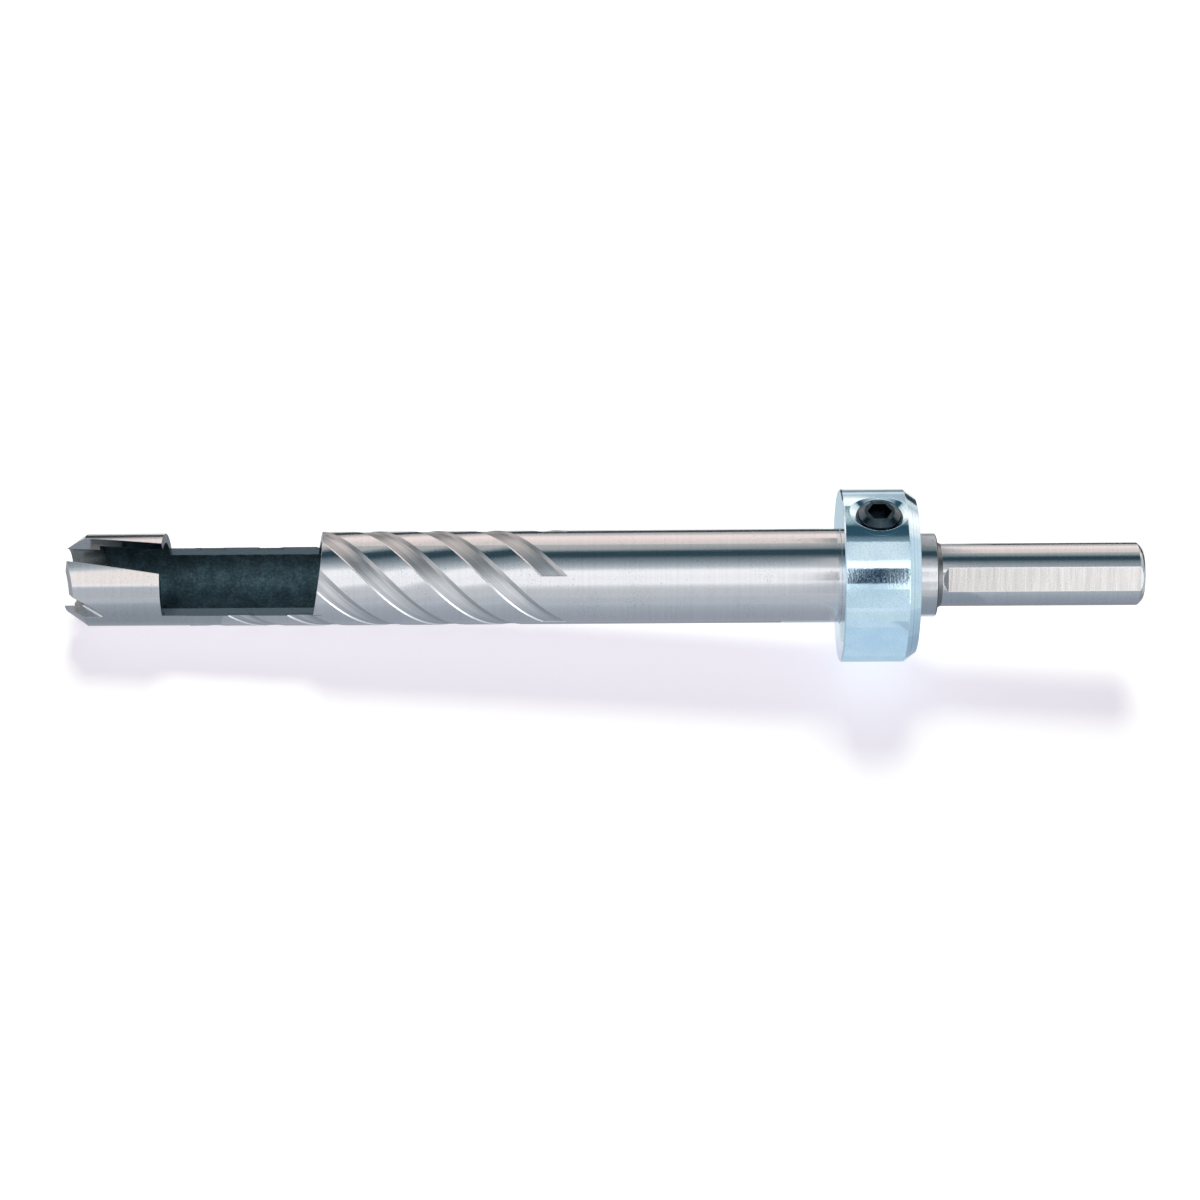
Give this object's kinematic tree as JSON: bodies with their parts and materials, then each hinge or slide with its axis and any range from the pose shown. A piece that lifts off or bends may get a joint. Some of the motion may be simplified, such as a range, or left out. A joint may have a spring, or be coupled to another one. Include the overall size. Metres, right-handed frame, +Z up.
{
  "type": "plug cutter",
  "caption": "Hollow claw-type cutter for wooden plugs, with a side window, helical flutes, a round shank with flats and a sliding stop collar held by a set screw.",
  "frame": {"origin": "middle of the bounding box's underside, on the surface that the tool lies on", "axes": "+X along the tool from the cutting tip to the shank, 3.01 degrees above level because the tool lies on its collar and its head; +Z up, through the ejection window"},
  "size_m": [0.1629, 0.0262, 0.0266],
  "materials": {
    "ground_steel": "satin",
    "zinc_plate": "gloss",
    "black_oxide": "satin"
  },
  "bodies": {
    "cutter": {"cutter_body": "ground_steel"},
    "collar": {"stop_collar": "zinc_plate"},
    "screw": {"set_screw": "black_oxide"}
  },
  "joints": [
    {"name": "collar_slide", "type": "slide", "parent": "cutter", "child": "collar", "axis": [0.9986, 0, 0.0525], "range_m": [-0.041, 0.002]},
    {"name": "set_screw_turn", "type": "hinge", "parent": "collar", "child": "screw", "pos_m": [0.04054, 0.00056, 0.02333], "axis": [-0.0524, 0.0558, 0.9971], "range_deg": [0, 360]}
  ]
}
